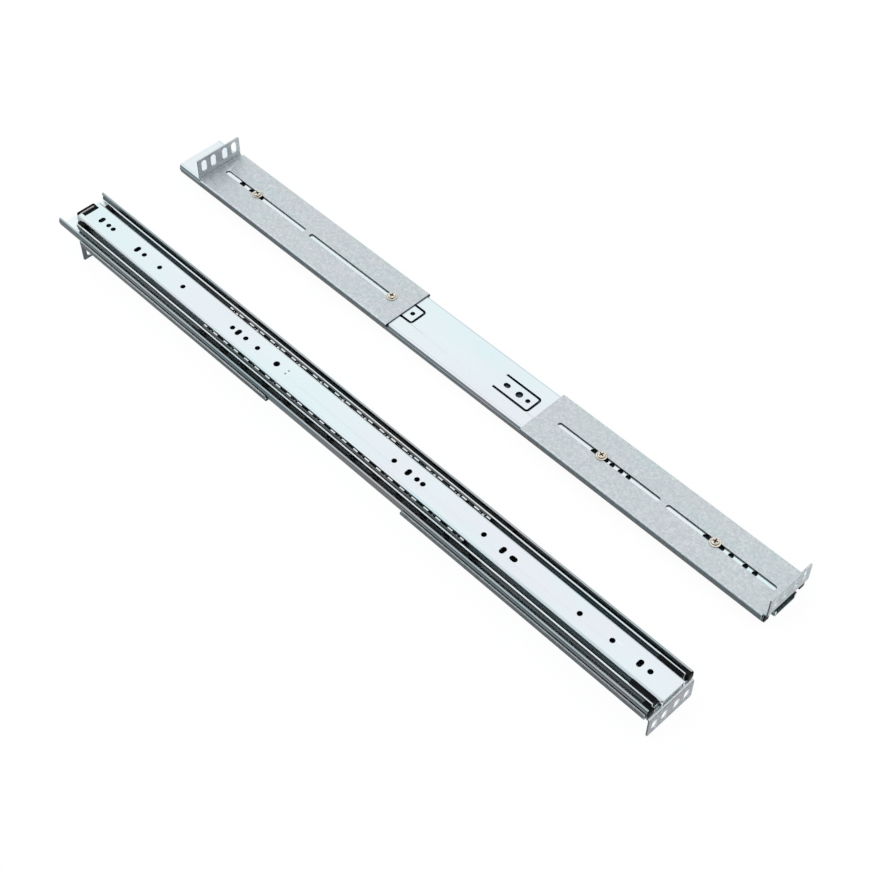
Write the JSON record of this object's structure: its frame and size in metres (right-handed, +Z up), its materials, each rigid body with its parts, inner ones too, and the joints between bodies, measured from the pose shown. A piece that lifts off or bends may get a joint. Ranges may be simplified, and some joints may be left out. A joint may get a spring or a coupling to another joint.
{
  "type": "sliding server rail pair",
  "caption": "Pair of telescoping ball-bearing rack slides with nested steel channels, slotted adjustable L-brackets and release levers.",
  "frame": {"origin": "centre of the pair's bounding box, on the surface that both slides lie on", "axes": "+X along the slides towards the front of the rack, +Y from the left slide to the right one, +Z up from the surface"},
  "size_m": [0.8166, 0.2194, 0.0402],
  "materials": {
    "bright_zinc": "bright blue-white zinc plate on roll-formed steel",
    "galvanised_sheet": "matt mottled galvanised sheet steel",
    "cage_strip": "greased steel strip",
    "ball_steel": "polished hardened steel",
    "nickel_screw": "warm nickel plate",
    "black_plastic": "moulded black plastic",
    "black_rubber": "moulded black rubber"
  },
  "bodies": {
    "outer_pair": {"left_outer_member": "bright_zinc", "left_outer_front_stops": "black_plastic", "left_bracket_bolts": "nickel_screw", "right_outer_member": "bright_zinc", "right_outer_front_stops": "black_plastic", "right_bracket_bolts": "nickel_screw"},
    "left_outer_cage": {"left_outer_ball_cages": "cage_strip", "left_outer_balls": "ball_steel"},
    "left_middle": {"left_middle_member": "bright_zinc", "left_middle_stops": "black_plastic"},
    "left_inner_cage": {"left_inner_ball_cages": "cage_strip", "left_inner_balls": "ball_steel"},
    "left_inner": {"left_inner_member": "bright_zinc", "left_rear_bumper": "black_rubber", "left_lever_rivet": "bright_zinc"},
    "left_lever": {"left_release_lever": "black_plastic"},
    "left_front_mount": {"left_front_bracket": "galvanised_sheet"},
    "left_rear_mount": {"left_rear_bracket": "galvanised_sheet"},
    "right_outer_cage": {"right_outer_ball_cages": "cage_strip", "right_outer_balls": "ball_steel"},
    "right_middle": {"right_middle_member": "bright_zinc", "right_middle_stops": "black_plastic"},
    "right_inner_cage": {"right_inner_ball_cages": "cage_strip", "right_inner_balls": "ball_steel"},
    "right_inner": {"right_inner_member": "bright_zinc", "right_rear_bumper": "black_rubber", "right_lever_rivet": "bright_zinc"},
    "right_lever": {"right_release_lever": "black_plastic"},
    "right_front_mount": {"right_front_bracket": "galvanised_sheet"},
    "right_rear_mount": {"right_rear_bracket": "galvanised_sheet"}
  },
  "joints": [
    {"name": "left_middle_slide", "type": "slide", "parent": "outer_pair", "child": "left_middle", "axis": [1, 0, 0], "range_m": [0, 0.392]},
    {"name": "left_outer_cage_slide", "type": "slide", "parent": "outer_pair", "child": "left_outer_cage", "axis": [1, 0, 0], "range_m": [0, 0.196]},
    {"name": "left_inner_slide", "type": "slide", "parent": "left_middle", "child": "left_inner", "axis": [1, 0, 0], "range_m": [0, 0.396]},
    {"name": "left_inner_cage_slide", "type": "slide", "parent": "left_middle", "child": "left_inner_cage", "axis": [1, 0, 0], "range_m": [0, 0.198]},
    {"name": "left_lever_turn", "type": "hinge", "parent": "left_inner", "child": "left_lever", "pos_m": [-0.09475, -0.0784, 0.0363], "axis": [0, 0, 1], "range_deg": [0, 5.2], "stiffness_Nm_per_rad": 2},
    {"name": "left_front_bracket_slide", "type": "slide", "parent": "outer_pair", "child": "left_front_mount", "axis": [1, 0, 0], "range_m": [-0.067, 0.052]},
    {"name": "left_rear_bracket_slide", "type": "slide", "parent": "outer_pair", "child": "left_rear_mount", "axis": [1, 0, 0], "range_m": [0, 0.048]},
    {"name": "right_middle_slide", "type": "slide", "parent": "outer_pair", "child": "right_middle", "axis": [1, 0, 0], "range_m": [0, 0.392]},
    {"name": "right_outer_cage_slide", "type": "slide", "parent": "outer_pair", "child": "right_outer_cage", "axis": [1, 0, 0], "range_m": [0, 0.196]},
    {"name": "right_inner_slide", "type": "slide", "parent": "right_middle", "child": "right_inner", "axis": [1, 0, 0], "range_m": [0, 0.396]},
    {"name": "right_inner_cage_slide", "type": "slide", "parent": "right_middle", "child": "right_inner_cage", "axis": [1, 0, 0], "range_m": [0, 0.198]},
    {"name": "right_lever_turn", "type": "hinge", "parent": "right_inner", "child": "right_lever", "pos_m": [-0.09475, 0.0784, 0.0039], "axis": [0, 0, 1], "range_deg": [0, 5.2], "stiffness_Nm_per_rad": 2},
    {"name": "right_front_bracket_slide", "type": "slide", "parent": "outer_pair", "child": "right_front_mount", "axis": [1, 0, 0], "range_m": [-0.067, 0.052]},
    {"name": "right_rear_bracket_slide", "type": "slide", "parent": "outer_pair", "child": "right_rear_mount", "axis": [1, 0, 0], "range_m": [0, 0.048]}
  ],
  "couplings": [
    {"joint": "left_outer_cage_slide", "follows": "left_middle_slide", "ratio": 0.5},
    {"joint": "left_inner_cage_slide", "follows": "left_inner_slide", "ratio": 0.5},
    {"joint": "right_outer_cage_slide", "follows": "right_middle_slide", "ratio": 0.5},
    {"joint": "right_inner_cage_slide", "follows": "right_inner_slide", "ratio": 0.5}
  ]
}
